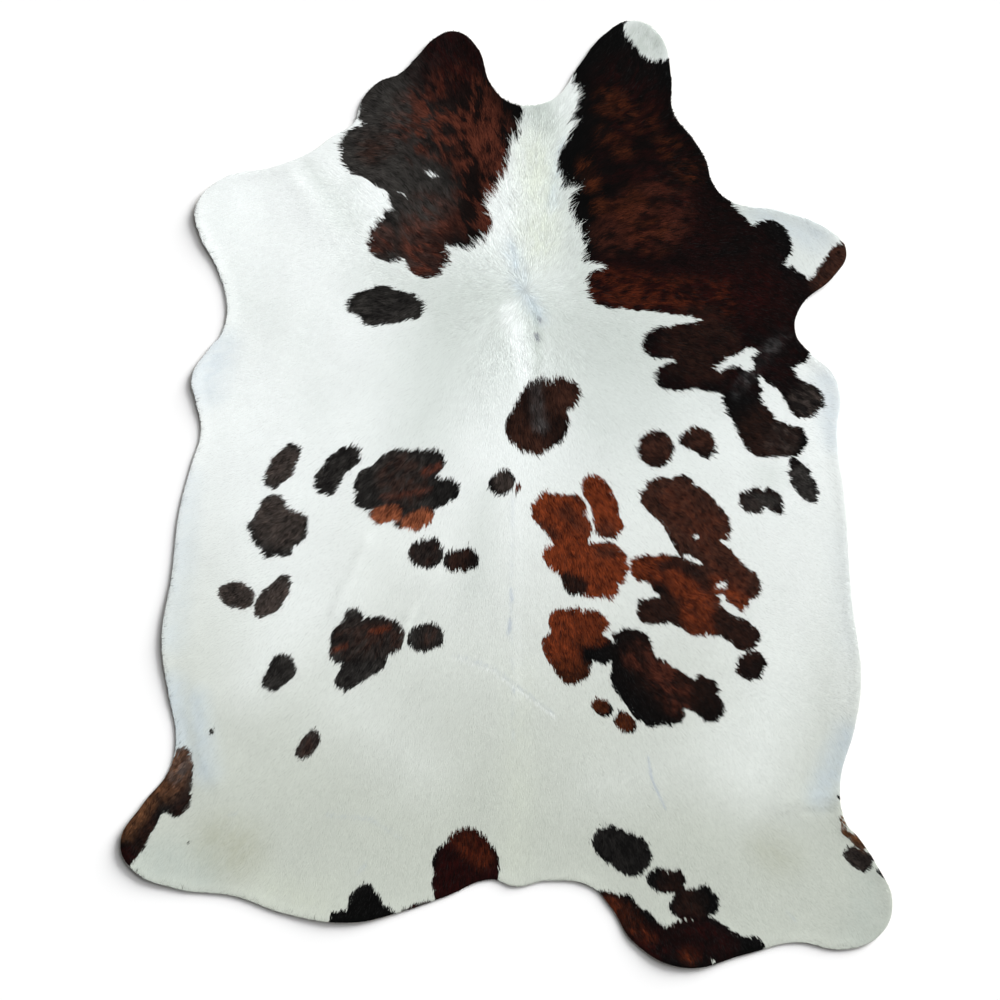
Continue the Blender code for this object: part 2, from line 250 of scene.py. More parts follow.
# The dark patches, painted as brush strokes: each is a chain of (x, y, half width), in pixels
PATCHES = table(
    "name strokes",
    ("left neck", [
        [(452, 64, 38), (400, 108, 41)], [(470, 108, 50), (450, 160, 57), (440, 190, 51)],
        [(366, 152, 26), (404, 158, 40)], [(508, 118, 15)], [(392, 240, 23), (420, 225, 34)],
        [(428, 255, 23)], [(464, 222, 28)], [(508, 128, 8), (518, 135, 4)]]),
    ("left shoulder spot", [[(358, 304, 11), (384, 306, 20), (410, 307, 14)], [(372, 317, 10)]]),
    ("right neck", [
        [(632, 90, 53), (640, 140, 72), (650, 200, 66)], [(618, 44, 26), (600, 70, 30)], [(590, 167, 33)],
        [(602, 208, 33), (620, 240, 33)], [(604, 256, 22)],
        [(612, 282, 26), (640, 262, 48), (700, 258, 61), (740, 282, 40)], [(686, 214, 46)], [(768, 245, 24)],
        [(740, 282, 40), (786, 300, 28)], [(790, 280, 13), (797, 284, 12)],
        [(808, 300, 12), (828, 274, 11), (843, 257, 14)]]),
    ("right armpit", [
        [(658, 344, 16), (700, 341, 19), (740, 330, 26), (785, 328, 32)],
        [(670, 375, 15), (700, 371, 18), (735, 374, 21)], [(735, 352, 22), (775, 350, 26), (792, 346, 21)],
        [(738, 378, 21), (744, 406, 18), (764, 438, 20), (790, 440, 16)],
        [(770, 362, 18), (788, 384, 11), (805, 401, 18)]]),
    ("right flank, front spots", [
        [(656, 449, 18)], [(686, 440, 8), (700, 441, 14), (706, 449, 10)],
        [(793, 462, 5), (801, 478, 12), (809, 492, 10), (813, 500, 4)], [(753, 501, 13)],
        [(768, 494, 6), (775, 502, 9), (781, 512, 4)]]),
    ("back", [
        [(548, 394, 17), (566, 393, 15)], [(545, 400, 24), (535, 425, 29)], [(545, 424, 24)],
        [(501, 483, 12), (505, 480, 11)], [(518, 484, 2), (518, 490, 2.5)]]),
    ("right flank, rust", [
        [(548, 508, 16), (568, 512, 18), (578, 530, 15)], [(542, 514, 10), (556, 529, 12), (570, 541, 12)],
        [(594, 489, 14), (602, 500, 14), (609, 526, 14)], [(556, 556, 13), (580, 566, 23), (605, 566, 24)],
        [(574, 584, 11), (600, 584, 14), (607, 588, 11)]]),
    ("right flank, brown", [
        [(660, 494, 18), (690, 510, 24), (706, 526, 24)], [(655, 498, 15), (676, 514, 18), (694, 542, 19)],
        [(682, 487, 12)], [(698, 543, 22), (725, 575, 20), (745, 586, 16)], [(738, 600, 12)]]),
    ("right flank, limbs", [
        [(644, 568, 14), (672, 572, 18), (700, 580, 22)], [(662, 580, 13), (682, 588, 15)],
        [(650, 611, 13), (676, 607, 18), (700, 612, 24), (724, 623, 15), (746, 637, 14)],
        [(751, 666, 14.5)]]),
    ("right loin", [
        [(563, 622, 15), (592, 626, 16)], [(558, 645, 16), (573, 665, 19)], [(572, 638, 14)],
        [(622, 664, 11), (624, 684, 12), (646, 708, 14)], [(590, 650, 13), (605, 650, 12), (628, 644, 17)],
        [(634, 645, 17), (636, 675, 26), (658, 695, 27)], [(655, 680, 22), (690, 695, 14), (711, 708, 13)],
        [(701, 680, 6), (709, 687, 9)], [(657, 711, 17), (677, 714, 9)], [(596, 703, 6), (604, 708, 8)],
        [(622, 720, 9), (629, 725, 9)]]),
    ("left flank, front spots", [
        [(272, 482, 8), (282, 467, 13), (292, 450, 8)], [(337, 466, 12), (349, 457, 12)],
        [(327, 482, 13), (332, 475, 12)], [(273, 510, 15), (268, 530, 20), (292, 528, 17)],
        [(272, 544, 14), (286, 546, 9)]]),
    ("left flank", [
        [(372, 486, 18), (400, 476, 28), (430, 463, 14)], [(366, 499, 11), (400, 495, 24)],
        [(381, 514, 11), (395, 508, 12)], [(400, 490, 24), (412, 508, 23)], [(425, 494, 20), (447, 491, 12)],
        [(422, 554, 14), (428, 554, 15)], [(454, 561, 11), (467, 559, 11)]]),
    ("left flank, middle spots", [
        [(231, 594, 13), (241, 596, 13)], [(263, 608, 10), (272, 598, 13), (284, 583, 8)]]),
    ("left loin", [
        [(354, 618, 10), (350, 642, 21), (384, 636, 20)], [(366, 655, 22), (344, 682, 9)], [(338, 654, 9)],
        [(420, 639, 13.5), (431, 637, 13)], [(283, 669, 14), (273, 681, 10)],
        [(304, 750, 9), (314, 738, 8.5)]]),
    ("left hind leg", [
        [(184, 756, 9), (180, 770, 14), (176, 802, 14)],
        [(165, 792, 16), (148, 806, 15), (134, 830, 17), (126, 850, 14)]]),
    ("left rump", [[(365, 902, 17), (365, 918, 20)], [(338, 920, 9), (385, 914, 9)]]),
    ("tail", [
        [(468, 847, 20), (470, 868, 30), (456, 886, 24)], [(453, 862, 20)], [(403, 911, 2), (430, 903, 3)]]),
    ("right rump", [
        [(608, 842, 16), (632, 856, 20)], [(658, 880, 11), (675, 881, 11)], [(684, 904, 15), (704, 902, 15)],
        [(605, 900, 11), (625, 918, 19), (655, 950, 26)], [(625, 905, 12)],
        [(684, 945, 25), (704, 942, 25), (735, 954, 18), (753, 944, 10)]]),
    ("right hind leg", [
        [(842, 820, 3), (845, 831, 3), (854, 838, 4), (864, 847, 3)], [(852, 854, 9), (863, 861, 10)],
        [(878, 871, 1.5), (884, 879, 1.5)], [(840, 797, 2)]]),
    ("specks", [[(212, 731, 3)], [(189, 843, 1.5)]]),
)
# The white that shows between them or inside them, painted over them in the same way
WHITES = table(
    "name strokes",
    ("right ear tip", [[(640, 30, 16), (654, 44, 17)], [(664, 47, 13)]]),
    ("neck", [
        [(429, 174, 1.4), (435, 176, 1.8)], [(403, 196, 1.1)], [(560, 193, 5), (577, 190, 1.5)],
        [(580, 270, 6), (602, 267, 1.5)], [(560, 128, 6), (576, 124, 2)]]),
    ("right armpit", [
        [(650, 362, 4), (672, 361, 2)], [(718, 368, 3), (735, 360, 5), (751, 353, 5)], [(747, 363, 7)]]),
    ("right flank", [
        [(590, 516, 4)], [(697, 537, 3)], [(719, 586, 3), (725, 586, 3)], [(730, 545, 4), (722, 541, 2)],
        [(684, 556, 1.5), (697, 563, 2.5)], [(722, 604, 2), (732, 609, 4.5), (738, 613, 3)],
        [(606, 634, 3), (614, 641, 1.5)]]),
    ("left flank", [[(395, 527, 3)]]),
    ("right rump", [[(714, 961, 2.5)]]),
)

# Colours laid over the coat with the same brush. `soft` is how far the edge of each fades, in pixels, and
# `clumps` is how far it breaks up into brindle, from 0, even, to 1.
DARK_TINTS = table(
    "name colour strength soft clumps strokes",
    # painted sheen: the dark hair over the left half greyed
    ("left side", GREY_BLACK, 0.75, 90, 0.5, [[(300, 40, 130), (300, 720, 150)]]),
    ("left neck", RED_BROWN, 0.72, 26, 0.95, [
        [(455, 95, 30), (484, 150, 32), (485, 215, 26)], [(430, 128, 40)]]),
    ("left ear", DARK_BROWN, 0.9, 30, 0.4, [[(455, 50, 34), (440, 74, 26)]]),
    ("left neck, back", RED_BROWN, 0.66, 16, 0.7, [[(380, 240, 14)], [(425, 255, 24), (430, 215, 24)]]),
    # painted sheen greying the black of the left cheek
    ("left cheek", GREY_BLACK, 0.95, 30, 0.4, [[(356, 160, 30), (420, 195, 34)], [(385, 110, 26)]]),
    ("left cheek, brown", BROWN, 0.6, 16, 0.7, [[(374, 148, 16)]]),
    ("right ear", DARK_BROWN, 0.62, 40, 0.75, [[(622, 88, 28), (645, 150, 50), (660, 220, 50)]]),
    ("right neck", NECK_BROWN, 0.54, 14, 0.95, [
        [(606, 102, 14), (644, 122, 14)], [(664, 146, 11), (692, 172, 12)], [(626, 206, 18), (652, 236, 20)],
        [(602, 136, 8), (622, 152, 9)]]),
    ("right neck, inner side", NECK_BROWN, 0.8, 8, 0.8, [[(580, 166, 6), (590, 186, 8)], [(598, 208, 9)]]),
    ("right neck, back", RED_BROWN, 0.3, 24, 0.9, [[(615, 232, 24), (655, 215, 36)]]),
    ("right shoulder, rust", DARK_BROWN, 0.9, 30, 0.4, [[(600, 285, 24), (650, 292, 28), (750, 296, 30)]]),
    ("right shoulder, streaks", RUST, 0.3, 22, 0.95, [[(600, 285, 18), (660, 298, 20), (720, 300, 16)]]),
    ("right shoulder", DARK_BROWN, 0.4, 30, 0.6, [[(720, 235, 40), (780, 300, 34)]]),
    ("right elbow", BROWN, 1.0, 12, 0.1, [[(822, 280, 12), (844, 256, 18)]]),
    ("right armpit", DARK_BROWN, 0.55, 30, 0.7, [[(680, 350, 40), (780, 350, 40)]]),
    ("right armpit, spots", BROWN_BLACK, 0.8, 12, 0.5, [[(770, 430, 30)], [(700, 345, 40)]]),
    ("right armpit, brown spot", GREY_BROWN, 0.6, 14, 0.8, [[(806, 404, 18)], [(780, 440, 16)]]),
    ("right armpit, sheen", SHEEN, 0.24, 9, 0.8, [[(735, 393, 5), (760, 360, 7), (784, 334, 6)]]),
    ("back, under the brown", BROWN_BLACK, 0.9, 30, 0.2, [[(550, 400, 34), (530, 430, 30)]]),
    ("back", BROWN, 0.85, 18, 0.5, [[(566, 396, 20)], [(534, 446, 14), (518, 430, 12)]]),
    ("spine spots", GREY_BROWN, 0.85, 8, 0.4, [[(503, 482, 10)]]),
    ("spine spots, red", RED_BROWN, 0.9, 3, 0.0, [[(518, 487, 4)]]),
    ("back, sheen", SHEEN, 0.42, 12, 0.6, [[(534, 378, 5), (540, 426, 7)]]),
    ("right flank", BROWN_BLACK, 0.9, 90, 0.3, [[(740, 480, 40), (700, 640, 60)]]),
    ("right flank, spots", BROWN, 0.95, 10, 0.5, [[(656, 448, 20)], [(692, 438, 12), (706, 440, 10)]]),
    ("right flank, grey spots", GREY_BLACK, 0.8, 8, 0.4, [
        [(799, 476, 10), (810, 494, 8)], [(752, 502, 12), (774, 502, 6)]]),
    ("rust spots", RUST, 1.0, 8, 0.1, [
        [(545, 505, 24), (575, 535, 26)], [(594, 486, 20), (609, 526, 20)],
        [(556, 556, 20), (604, 572, 32)]]),
    ("rust spots, brown", BROWN, 0.8, 10, 0.4, [
        [(566, 512, 7), (584, 530, 6)], [(606, 532, 12)], [(596, 554, 5), (612, 552, 6)],
        [(538, 524, 5), (556, 536, 4)]]),
    ("rust spots, black", BROWN_BLACK, 1.0, 4, 0.0, [[(566, 579, 7), (579, 586, 9)]]),
    ("brown spot", BROWN, 1.0, 8, 0.1, [[(662, 495, 26), (700, 522, 32), (730, 582, 32)]]),
    ("brown spot, rust", RUST, 0.18, 12, 0.8, [[(672, 500, 14), (716, 540, 20), (735, 585, 14)]]),
    ("limbs, rust", RUST, 0.8, 12, 0.4, [
        [(640, 566, 16), (670, 568, 14)], [(676, 580, 10), (694, 600, 20), (700, 624, 16)],
        [(715, 588, 12), (745, 605, 8)]]),
    ("limbs, black", BROWN_BLACK, 0.95, 9, 0.15, [
        [(662, 566, 6), (676, 562, 6), (696, 572, 7), (706, 584, 7)], [(645, 610, 18), (668, 608, 14)],
        [(722, 620, 10), (748, 640, 18)]]),
    ("loin, rust", RUST, 0.92, 12, 0.25, [
        [(558, 622, 20), (594, 626, 18)], [(556, 648, 16), (566, 656, 14)]]),
    ("loin, brown", NECK_BROWN, 0.8, 12, 0.4, [
        [(566, 670, 16), (580, 676, 14)], [(574, 643, 3), (600, 638, 4)]]),
    ("loin, middle", RED_BROWN, 0.45, 16, 0.8, [[(636, 655, 12), (660, 672, 16), (680, 700, 14)]]),
    ("loin, spots", NECK_BROWN, 0.95, 3, 0.1, [[(600, 705, 9)], [(625, 722, 10)]]),
    # painted sheen: the left flank's spots greyed
    ("left flank, grey", GREY_BROWN, 0.9, 14, 0.4, [
        [(282, 467, 20)], [(280, 520, 26)], [(236, 596, 20), (276, 598, 20)]]),
    ("left flank, rust", ORANGE, 1.0, 4, 0.1, [
        [(380, 517, 10), (393, 514, 9)], [(410, 524, 9), (424, 518, 10)]]),
    ("left flank, streaks", RED_BROWN, 0.65, 5, 0.6, [
        [(425, 472, 4), (440, 466, 3)], [(384, 497, 3), (430, 490, 2)]]),
    ("left flank, spots", BROWN, 0.5, 12, 0.7, [[(425, 552, 14)], [(461, 560, 14)], [(402, 480, 26)]]),
    ("left loin", BROWN, 0.5, 14, 0.7, [
        [(354, 640, 20), (386, 640, 18)], [(428, 636, 10)], [(310, 745, 14)]]),
    ("left loin, streaks", RUST, 0.7, 5, 0.4, [
        [(370, 632, 2), (389, 628, 2)], [(333, 651, 2), (346, 646, 2)]]),
    ("left hind leg", LEG_BROWN, 0.9, 16, 0.4, [
        [(182, 762, 16), (165, 785, 16)], [(150, 800, 8), (128, 830, 8)]]),
    ("left hind leg, front", SHEEN, 0.45, 12, 0.7, [[(186, 752, 9), (180, 775, 10)]]),
    ("left hind foot", DARK_BROWN, 0.9, 10, 0.3, [[(128, 858, 12)]]),
    ("left hind leg, inner side", BROWN_BLACK, 0.95, 12, 0.3, [
        [(188, 796, 8), (180, 810, 9)], [(152, 822, 5), (142, 846, 8)]]),
    ("tail", DARK_BROWN, 1.0, 10, 0.3, [[(468, 845, 26), (466, 880, 36)], [(403, 911, 5), (430, 903, 5)]]),
    ("tail, brown", RUST, 0.3, 14, 0.6, [[(463, 838, 14), (482, 856, 12)]]),
    ("right rump, black spot", GREY_BLACK, 0.25, 12, 0.6, [[(605, 838, 16), (635, 858, 20)]]),
    ("right rump spots", BROWN, 0.3, 12, 0.6, [[(672, 882, 14)], [(690, 905, 16)]]),
    ("right rump", DARK_BROWN, 0.9, 18, 0.5, [[(640, 945, 16), (690, 935, 20), (720, 945, 16)]]),
    ("right rump, rust", RUST, 0.5, 14, 0.7, [
        [(608, 902, 10), (628, 918, 10), (648, 938, 6)], [(690, 955, 8)]]),
    ("right hind leg", LEG_BROWN, 0.85, 5, 0.2, [[(842, 820, 5), (846, 832, 5), (864, 846, 6)]]),
    ("right hind leg spot", GREY_BROWN, 0.45, 8, 0.2, [[(858, 858, 14)]]),
)
WHITE_TINTS = table(
    "name colour strength soft clumps strokes",
    ("right side", SHADE, 0.55, 260, 0.0, [[(800, 120, 110), (640, 420, 40)]]),
    ("neck", SHADE, 0.55, 120, 0.1, [[(540, 110, 30), (600, 330, 60), (470, 290, 40)]]),
    ("left belly, light", COAT_FRONT, 0.58, 90, 0.0, [[(262, 480, 50), (300, 600, 50), (250, 680, 16)]]),
    ("right belly, light", COAT_FRONT, 0.5, 110, 0.0, [
        [(800, 560, 60), (760, 770, 40)], [(846, 560, 30), (850, 700, 24)]]),
    ("loin, light", COAT_FRONT, 0.26, 100, 0.0, [
        [(345, 700, 30), (420, 765, 20)], [(600, 785, 20), (710, 750, 40)]]),
    ("left ribs", SHADE, 0.46, 110, 0.0, [[(380, 270, 18), (444, 316, 36), (444, 370, 58), (420, 430, 32)]]),
    ("left shoulder, back", SHADE, 0.16, 90, 0.0, [[(240, 300, 24), (300, 345, 24), (325, 400, 26)]]),
    ("right ribs", SHADE, 0.2, 60, 0.0, [[(556, 345, 14), (575, 390, 16), (600, 430, 16)]]),
    ("back, shaded side", SHADE, 0.34, 50, 0.1, [[(484, 500, 8), (474, 590, 8)], [(770, 476, 12)]]),
    ("left belly edge", BLUISH, 0.55, 30, 0.2, [
        [(170, 690, 16), (178, 752, 18)], [(196, 700, 10), (206, 770, 12)]]),
    ("left brisket", BLUISH, 0.45, 36, 0.4, [[(205, 380, 22), (220, 345, 14)]]),
    ("left belly", BLUISH, 0.3, 30, 0.3, [[(186, 480, 12), (180, 560, 14), (170, 640, 12)]]),
    ("left shoulder, light", COAT_LIT, 0.1, 36, 0.1, [[(240, 192, 20), (284, 202, 16)]]),
    ("left shoulder, shade", SHADE, 0.26, 20, 0.2, [[(310, 168, 8), (348, 218, 18)], [(352, 186, 8)]]),
    ("right elbow", BLUISH, 0.4, 26, 0.3, [[(760, 214, 10), (815, 236, 14)]]),
    ("right ear tip", SHADE, 0.75, 20, 0.3, [[(645, 42, 22)]]),
    ("crown", SHADE, 0.75, 24, 0.3, [[(535, 112, 14), (548, 128, 10)]]),
    # painted light on the crest of the withers, beside its painted shade
    ("withers", COAT_FRONT, 0.9, 10, 0.4, [[(512, 310, 10), (519, 350, 9), (525, 384, 5)]]),
    ("withers, shaded side", SHADE, 0.7, 8, 0.5, [[(533, 305, 3), (538, 330, 4), (537, 368, 3)]]),
    ("right brisket", BLUISH, 0.4, 26, 0.3, [[(826, 385, 14), (834, 440, 10)]]),
    ("right belly edge", BLUISH, 0.55, 28, 0.2, [[(846, 735, 12), (838, 760, 16), (820, 795, 12)]]),
    ("right belly", BLUISH, 0.1, 36, 0.3, [[(842, 540, 12), (850, 640, 16)]]),
    ("left hind foot", SHADE, 0.6, 40, 0.3, [[(150, 860, 22), (200, 868, 24)]]),
    ("right hind foot", SHADE, 0.45, 40, 0.3, [[(868, 880, 14), (866, 930, 24)]]),
    # painted shade along the partings of the mane
    ("whorl", BLUISH, 0.6, 16, 0.6, [
        [(512, 248, 6), (520, 285, 6), (542, 318, 5)], [(552, 205, 4), (560, 150, 5)]]),
    ("left stain", TAN, 0.7, 60, 0.3, [[(222, 842, 20), (236, 850, 22)]]),
    ("right stain", TAN, 0.45, 50, 0.3, [[(768, 848, 16), (780, 856, 16)]]),
    ("left rump stain", CREAM, 0.3, 50, 0.3, [[(270, 890, 14), (320, 900, 16)]]),
    ("loin", CREAM, 0.2, 40, 0.4, [[(520, 680, 10), (516, 860, 14)]]),
    ("mane", CREAM, 0.5, 34, 0.5, [[(535, 150, 14), (540, 250, 18)]]),
    ("back line", BLUE_GREY, 0.22, 5, 0.9, [[(513, 480, 1), (511, 600, 1)], [(511, 600, 1), (513, 740, 1)]]),
    # painted highlight along the ridges beside the spine
    ("back ridge", COAT_FRONT, 0.3, 16, 0.6, [
        [(519, 450, 3), (517, 600, 3)], [(516, 620, 2), (518, 700, 2)]]),
    ("back smudges", BLUE_GREY, 0.6, 5, 0.5, [
        [(511, 590, 1), (512, 600, 1)], [(510, 620, 1), (509, 632, 2)], [(514, 690, 2)]]),
    ("wither smudges", GREY, 0.95, 4, 0.2, [[(539, 319, 2.4)], [(537, 333, 2), (536, 338, 2)]]),
    ("scar on the loin", BLUE_GREY, 0.45, 3, 0.6, [
        [(453, 654, 0.4), (492, 667, 0.6), (530, 695, 0.6), (553, 713, 0.5)]]),
    ("scar on the loin, light", COAT_FRONT, 0.9, 2.5, 0.3, [
        [(453, 657, 0.4), (491, 670, 0.6), (529, 698, 0.6), (556, 718, 0.5)]]),
    ("scar on the right thigh", BLUE_GREY, 0.8, 3, 0.3, [
        [(648, 757, 0.6), (652, 780, 0.8), (665, 808, 0.6)]]),
    ("scar on the left thigh", BLUE_GREY, 0.4, 4, 0.6, [[(327, 815, 0.4), (368, 818, 0.6), (401, 838, 0.4)]]),
    ("scratches", BLUE_GREY, 0.45, 4, 0.5, [
        [(228, 815, 0.6), (237, 813, 0.6)], [(358, 872, 1), (366, 864, 1)],
        [(786, 911, 0.6), (795, 920, 0.6)]]),
)


# ---- Small tools ----


def linear(colour):
    """A screen colour as the linear numbers that a shader takes, by the curve of such screens."""
    share = np.asarray(colour, float) / 255
    return np.where(share <= 0.04045, share / 12.92, ((share + 0.055) / 1.055) ** 2.4)


def hair_colour(colour):
    """The hair's own colour, where the photograph shows it as this screen colour."""
    return np.clip(linear(colour) / LIGHT - GLOSS, DARKEST, 1)


def fade(share):
    """0 below 0, 1 above 1, and smooth between."""
    share = np.clip(share, 0, 1)
    return share * share * (3 - 2 * share)


def between(values, cell, beyond, share):
    """A grid's value between a cell and the one beyond it, both ways."""
    (x0, y0), (x1, y1), (x, y) = cell.T, beyond.T, share.T
    near = values[x0, y0] * (1 - x) + values[x1, y0] * x
    far = values[x0, y1] * (1 - x) + values[x1, y1] * x
    return near * (1 - y) + far * y


def noise(points, size, seed, cells=64):
    """Smooth noise from 0 to 1 at places in the plane, with patches about size across."""
    values = np.random.default_rng(seed).random((cells, cells))
    place = points / size
    cell = np.floor(place).astype(int)
    return between(values, cell % cells, (cell + 1) % cells, fade(place - cell))


def rough_noise(points, size, seed, octaves=4, finer_share=0.55, contrast=1.35):
    """The same with finer noise in it, spread to fill 0 to 1."""
    total = sum(noise(points, size / 2**i, seed + i) * finer_share**i for i in range(octaves))
    middle = sum(finer_share**i for i in range(octaves)) / 2
    return np.clip((total - middle) * contrast / middle + 0.5, 0, 1)


def from_line(points, start, end):
    """(distance to the line from start to end, how far along it the nearest point is, from 0 to 1)"""
    start, reach = np.asarray(start, float), np.subtract(end, start).astype(float)
    length = reach @ reach
    along = np.clip((points - start) @ reach / length, 0, 1) if length else np.zeros(len(points))
    return np.linalg.norm(points - start - along[:, None] * reach, axis=1), along


def inside_strokes(points, strokes):
    """How far each place is inside the brush strokes, in pixels, and below 0 outside them."""
    depth = np.full(len(points), -np.inf)
    for stroke in strokes:
        ends = stroke[1:] or stroke
        for (x0, y0, r0), (x1, y1, r1) in zip(stroke, ends):
            away, along = from_line(points, (x0, y0), (x1, y1))
            depth = np.maximum(depth, r0 + along * (r1 - r0) - away)
    return depth


def inside_patches(points, patches):
    return inside_strokes(points, [stroke for patch in patches for stroke in patch.strokes])


def raised(values, share):
    """The first value, with this share of the second added."""
    least, more = values
    return least + more * share


def down_the_hide(pixels, turn):
    """From 0 to 1 between two lines across the photograph."""
    start, end = turn
    return fade((pixels[:, 1] - start) / (end - start))


def hexagons(low, high, step):
    """Places with step between them, in rows that are shifted by half a step one after the other."""
    x, y = np.meshgrid(np.arange(low[0], high[0], step), np.arange(low[1], high[1], step * np.sqrt(3) / 2))
    x = x + (np.arange(len(x)) % 2)[:, None] * step / 2
    return np.column_stack([x.ravel(), y.ravel()])


def signed_area(loop):
    """The area inside a closed loop of places, below 0 where it runs clockwise."""
    return np.cross(loop, np.roll(loop, -1, axis=0)).sum() / 2


def new_object(name, points, faces, material_slots):
    """A mesh object of triangles from arrays."""
    mesh = bpy.data.meshes.new(name)
    mesh.from_pydata(points.tolist(), [], faces.tolist())
    for material in material_slots:
        mesh.materials.append(material)
    made = bpy.data.objects.new(name, mesh)
    bpy.context.scene.collection.objects.link(made)
    return made


def set_colours(mesh, colours):
    layer = mesh.attributes.new("coat_colour", "FLOAT_COLOR", "POINT")
    full = np.column_stack([colours, np.ones(len(colours))]).astype(np.float32)
    layer.data.foreach_set("color", full.ravel())


def set_uv(mesh, corner_places):
    """The OFBake map: where each corner of the mesh lies in a flat picture of its colours."""
    layer = mesh.uv_layers.new(name="OFBake")
    layer.uv.foreach_set("vector", np.asarray(corner_places, np.float32).ravel())


# ---- The hide as the CAD model has it ----


class Photo:
    """Turns pixels of the photograph into metres on the floor, and back."""

    low, high = (np.array(corner) for corner in cad_box)
    middle = ((low + high) / 2)[:2]
    pixel = (high - low)[1] / HIDE_HEIGHT

    @classmethod
    def metres(cls, pixels):
        return (np.asarray(pixels, float) - HIDE_MIDDLE) * (cls.pixel, -cls.pixel) + cls.middle

    @classmethod
    def pixels(cls, metres):
        return (metres - cls.middle) / (cls.pixel, -cls.pixel) + HIDE_MIDDLE


class Grid:
    """Numbers on an even grid over the hide, read at any place."""

    margin = 8 * GRID_STEP
    low = Photo.low[:2] - margin
    count = np.ceil((Photo.high[:2] + margin - low) / GRID_STEP).astype(int) + 1
    last = count - 1.001  # just short of the last row and column
    places = np.moveaxis(np.indices(count), 0, -1) * GRID_STEP + low

    def __init__(self, values):
        self.values = values.reshape(self.count)

    def at(self, points):
        place = np.clip((points - self.low) / GRID_STEP, 0, self.last)
        cell = place.astype(int)
        return between(self.values, cell, cell + 1, place - cell)


def cad_mesh(node):
    """(points, triangles) of the CAD node."""
    mesh = node.data
    mesh.calc_loop_triangles()
    points = [tuple(vertex.co) for vertex in mesh.vertices]
    return np.array(points), np.array([tuple(triangle.vertices) for triangle in mesh.loop_triangles])


def cut_edge(points, faces, steepness=0.1, decimals=5):
    """The outline of the hide as one loop of places: the foot of the faces that stand upright."""
    corners = points[faces]
    normals = np.cross(corners[:, 1] - corners[:, 0], corners[:, 2] - corners[:, 0])
    upright = np.abs(normals[:, 2]) < steepness * np.linalg.norm(normals, axis=1)
    nearby = {}
    for triangle in np.round(corners[upright][:, :, :2], decimals):
        spots = sorted({tuple(spot) for spot in triangle})
        if len(spots) == 2:
            nearby.setdefault(spots[0], set()).add(spots[1])
            nearby.setdefault(spots[1], set()).add(spots[0])
    first = min(nearby)
    loop, last = [first], None
    while True:
        following = [spot for spot in nearby[loop[-1]] if spot != last]
        last = loop[-1]
        loop.append(following[0])
        if loop[-1] == first:
            return np.array(loop[:-1])


def evenly_spaced(loop, step, parts=8):
    """A smooth closed curve through the loop's points, with points about step apart."""
    before, after, beyond = (np.roll(loop, shift, axis=0) for shift in (1, -1, -2))
    share = np.linspace(0, 1, parts, endpoint=False)[None, :, None]
    a, b, c, d = (points[:, None] for points in (before, loop, after, beyond))
    square, cube = 2 * a - 5 * b + 4 * c - d, 3 * b - a - 3 * c + d
    curve = 0.5 * (2 * b + (c - a) * share + square * share**2 + cube * share**3)
    closed = np.vstack([curve.reshape(-1, 2), curve[:1, 0]])
    along = np.concatenate([[0], np.cumsum(np.linalg.norm(np.diff(closed, axis=0), axis=1))])
    places = np.linspace(0, along[-1], round(along[-1] / step), endpoint=False)
    return np.column_stack([np.interp(places, along, closed[:, i]) for i in range(2)])


def smoothed(values, known, radius, least=1e-6):
    """The grid's values, smoothed and carried on a little past where they are known."""
    reach = int(radius / GRID_STEP * 2)
    weights = np.exp(-0.5 * (np.arange(-reach, reach + 1) * GRID_STEP / radius) ** 2)

    def spread(grid):
        for axis in (0, 1):
            grid = sum(w * np.roll(grid, k - reach, axis=axis) for k, w in enumerate(weights))
        return grid

    total, weight = spread(np.where(known, values, 0)), spread(known.astype(float))
    return np.where(weight > least, total / np.maximum(weight, least), 0)


class Shape:
    """The hide's outline and heights, read from the CAD node."""

    def __init__(self, node):
        points, faces = cad_mesh(node)
        self.edge = evenly_spaced(cut_edge(points, faces), EDGE_STEP)
        tree = BVHTree.FromPolygons(points.tolist(), faces.tolist())

        def met(height, direction):
            places = Grid.places.reshape(-1, 2)
            hits = [tree.ray_cast((x, y, height), (0, 0, direction))[0] for x, y in places]
            return np.array([np.nan if hit is None else hit.z for hit in hits]).reshape(Grid.count)

        low, high = met(-1, 1), met(1, -1)
        known = ~np.isnan(low + high)
        self.under = Grid(np.maximum(smoothed(low, known, EVENED), 0))
        self.coat = Grid(smoothed(high - low, known, EVENED) - SKIN)
        self.inside = Grid(self.edge_distance(known))
        self.skin = Grid(self.under.values + SKIN + self.creases())
        self.slopes = [Grid(slope) for slope in np.gradient(self.skin.values, GRID_STEP)]

    def edge_distance(self, known):
        """How far each place of the grid is inside the cut edge, below 0 outside it."""
        fine = evenly_spaced(self.edge, EDGE_STEP / 3)
        tree = KDTree(len(fine))
        for i, (x, y) in enumerate(fine):
            tree.insert((x, y, 0), i)
        tree.balance()
        away = np.array([tree.find((x, y, 0))[2] for x, y in Grid.places.reshape(-1, 2)]).reshape(Grid.count)
        return np.where(known, away, -away)

    def creases(self):
        """The height of the folds and wrinkles, and of the hide's slight unevenness, over the grid."""
        places = Grid.places.reshape(-1, 2)
        height = (rough_noise(places, size=0.16, seed=40) - 0.5) * WAVES
        wander = noise(places, size=0.05, seed=41) - 0.5
        for row in CREASES:
            start, end = Photo.metres((row.from_x, row.from_y)), Photo.metres((row.to_x, row.to_y))
            away, along = from_line(places, start, end)
            ends = fade(np.minimum(along, 1 - along) * 6 + 0.25)  # lower over the last eighth at either end
            height += row.height * ends * fade(1 - np.abs(away + wander * row.half_width) / row.half_width)
        return height.reshape(Grid.count)


# ---- The coat's colours and the lie of the hair ----


def streaks(pixels, way, size, seed, reach=0.6, samples=4, contrast=1.5):
    """Rough noise drawn out along the hair, as it lies in locks of one shade."""
    steps = np.linspace(-reach, reach, samples)
    total = sum(rough_noise(pixels + way * (step * size), size, seed) for step in steps) / samples
    return np.clip((total - 0.5) * contrast + 0.5, 0, 1)


